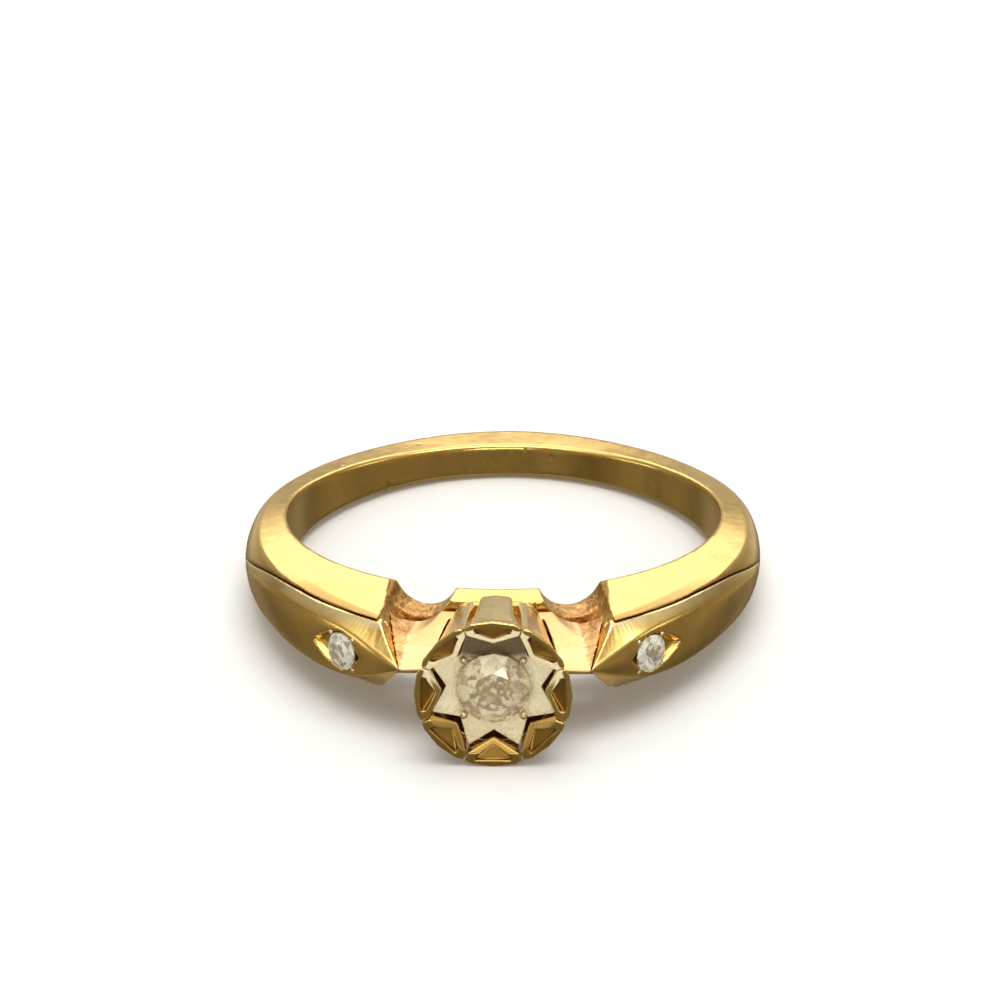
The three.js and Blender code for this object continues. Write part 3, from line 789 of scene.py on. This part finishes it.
def build_surface():
    """A pale surface tilted so that the ring rests on its crown and the back of its shank."""
    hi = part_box("shank_band")[1]
    front, back = -RIM_T * MM, hi[1]
    low_front, low_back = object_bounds()[0][2], BACK_REST_Z * MM
    slope = (low_back - low_front) / (back - front)
    rings = [(0.0, 0.0), (0.3, 0.0), (0.42, 0.01), (0.52, 0.05), (0.58, 0.12), (0.6, 0.22),
             (0.6, 0.5)]
    steps = 96
    points, faces = [(0, 0, 0)], []
    for r, z in rings[1:]:
        for i in range(steps):
            a = 2 * math.pi * i / steps
            points.append((r * math.cos(a), r * math.sin(a), z))
    for i in range(steps):
        faces.append((0, 1 + i, 1 + (i + 1) % steps))
    for row in range(len(rings) - 2):
        for i in range(steps):
            a, b = 1 + row * steps + i, 1 + row * steps + (i + 1) % steps
            faces.append((a, a + steps, b + steps, b))
    mesh = bpy.data.meshes.new("surface")
    mesh.from_pydata(points, [], faces)
    mesh.shade_smooth()
    mesh.transform(Matrix.Translation((0, front, low_front))
                   @ Matrix.Rotation(math.atan(slope), 4, "X")
                   @ Matrix.Translation((0, -front, 0)))
    floor = new_object("surface", mesh)
    n = Nodes("pale_surface")
    shade = n.ramp(n.noise(0.02, 3), (0.3, (0.93, 0.94, 0.96)), (0.7, (0.90, 0.91, 0.93)))
    n.link(shade, n.shader.inputs["Base Color"])
    n.shader.inputs["Roughness"].default_value = 0.9
    mesh.materials.append(n.material)
    floor.visible_glossy = False


def area_light(name, at, size, radiance, colour, target=(0, -0.002, 0)):
    data = bpy.data.lights.new(name, "AREA")
    data.shape = "RECTANGLE"
    data.size, data.size_y = size
    data.energy = math.pi * radiance * size[0] * size[1]
    data.color = colour
    lamp = bpy.data.objects.new(name, data)
    bpy.context.scene.collection.objects.link(lamp)
    lamp.location = at
    lamp.rotation_euler = (Vector(target) - Vector(at)).to_track_quat("-Z", "Y").to_euler()


def build_light():
    """Soft lights all round: place and size in metres, then radiance."""
    area_light("back_softbox", (0.0, 0.30, 0.19), (0.30, 0.14), 1.5, (1.0, 0.98, 0.92))
    area_light("top_softbox", (0.02, -0.03, 0.34), (0.28, 0.22), 2.2, (1.0, 0.99, 0.95))
    area_light("fill_left", (-0.30, -0.08, 0.05), (0.14, 0.10), 1.5, (1.0, 0.97, 0.9))
    area_light("front_softbox", (0.02, -0.31, 0.04), (0.16, 0.07), 4.6, (1.0, 0.98, 0.93),
               (0, -0.014, 0))
    area_light("fill_right", (0.32, -0.04, 0.12), (0.12, 0.14), 1.2, (1.0, 0.97, 0.9))
    build_room()


def build_room():
    """Soft surroundings: brightest overhead, brighter behind the ring than in front of it."""
    world = bpy.data.worlds.new("soft_room")
    bpy.context.scene.world = world
    world.use_nodes = True
    tree = world.node_tree

    def add(kind, **settings):
        node = tree.nodes.new(kind)
        for key, value in settings.items():
            setattr(node, key, value)
        return node

    def gradient(value, stops):
        """Colours for a direction's coordinate, with -1 to 1 mapped to 0 to 1."""
        unit = add("ShaderNodeMapRange")
        unit.inputs["From Min"].default_value = -1.0
        tree.links.new(value, unit.inputs["Value"])
        ramp = add("ShaderNodeValToRGB")
        marks = ramp.color_ramp.elements
        while len(marks) < len(stops):
            marks.new(0.5)
        for mark, (at, colour) in zip(marks, stops):
            mark.position, mark.color = at, (*colour, 1)
        tree.links.new(unit.outputs[0], ramp.inputs[0])
        return ramp.outputs[0]

    where = add("ShaderNodeTexCoord")
    split = add("ShaderNodeSeparateXYZ")
    tree.links.new(where.outputs["Generated"], split.inputs[0])
    front_side = gradient(split.outputs["Z"], [
        (0.02, (0.36, 0.32, 0.25)), (0.14, (0.16, 0.14, 0.10)), (0.31, (0.18, 0.155, 0.11)),
        (0.44, (0.30, 0.255, 0.18)), (0.56, (0.22, 0.19, 0.13)), (0.88, (0.45, 0.41, 0.33)),
        (0.97, (1.4, 1.38, 1.34))])
    far_side = gradient(split.outputs["Z"], [
        (0.02, (0.70, 0.65, 0.54)), (0.14, (0.26, 0.23, 0.17)), (0.35, (0.26, 0.23, 0.17)),
        (0.43, (0.6, 0.56, 0.47)), (0.51, (0.6, 0.56, 0.47)), (0.58, (0.46, 0.43, 0.36)),
        (0.75, (0.6, 0.57, 0.52)), (0.94, (1.25, 1.22, 1.18))])
    side = gradient(split.outputs["Y"], [(0.81, (0, 0, 0)), (0.96, (1, 1, 1))])
    blend = add("ShaderNodeMix", data_type="RGBA")
    tree.links.new(side, blend.inputs[0])
    tree.links.new(front_side, blend.inputs[6])
    tree.links.new(far_side, blend.inputs[7])
    drift = add("ShaderNodeTexNoise")
    drift.inputs["Scale"].default_value = 2.4
    drift.inputs["Detail"].default_value = 2.0
    tree.links.new(where.outputs["Generated"], drift.inputs["Vector"])
    strength = add("ShaderNodeMapRange")
    for socket, value in (("From Min", 0.3), ("From Max", 0.7), ("To Min", 0.6), ("To Max", 1.5)):
        strength.inputs[socket].default_value = value
    tree.links.new(drift.outputs["Fac"], strength.inputs["Value"])
    tree.links.new(blend.outputs[2], tree.nodes["Background"].inputs["Color"])
    tree.links.new(strength.outputs[0], tree.nodes["Background"].inputs["Strength"])


def build_camera():
    """The photograph's viewpoint: 22 degrees above the ring's plane, a little to the right."""
    azimuth, elevation, roll = math.radians(1.58), math.radians(22.15), math.radians(-0.25)
    back = Vector((math.sin(azimuth) * math.cos(elevation),
                   -math.cos(azimuth) * math.cos(elevation), math.sin(elevation)))
    right = Vector((math.cos(azimuth), math.sin(azimuth), 0))
    up = back.cross(right)
    turned_right = right * math.cos(roll) + up * math.sin(roll)
    turned_up = up * math.cos(roll) - right * math.sin(roll)
    data = bpy.data.cameras.new("camera")
    data.sensor_width = 36.0
    data.lens = FOCAL_LENGTH * data.sensor_width
    data.shift_x, data.shift_y = -0.0038, 0.0391
    data.clip_start, data.clip_end = 0.005, 5
    camera = bpy.data.objects.new("camera", data)
    bpy.context.scene.collection.objects.link(camera)
    camera.matrix_world = Matrix.Translation(back * DISTANCE) @ Matrix(
        (turned_right, turned_up, back)).transposed().to_4x4()
    bpy.context.scene.camera = camera


build_surface()
build_light()
build_camera()
bpy.context.scene.view_settings.view_transform = "Standard"
bpy.context.view_layer.update()
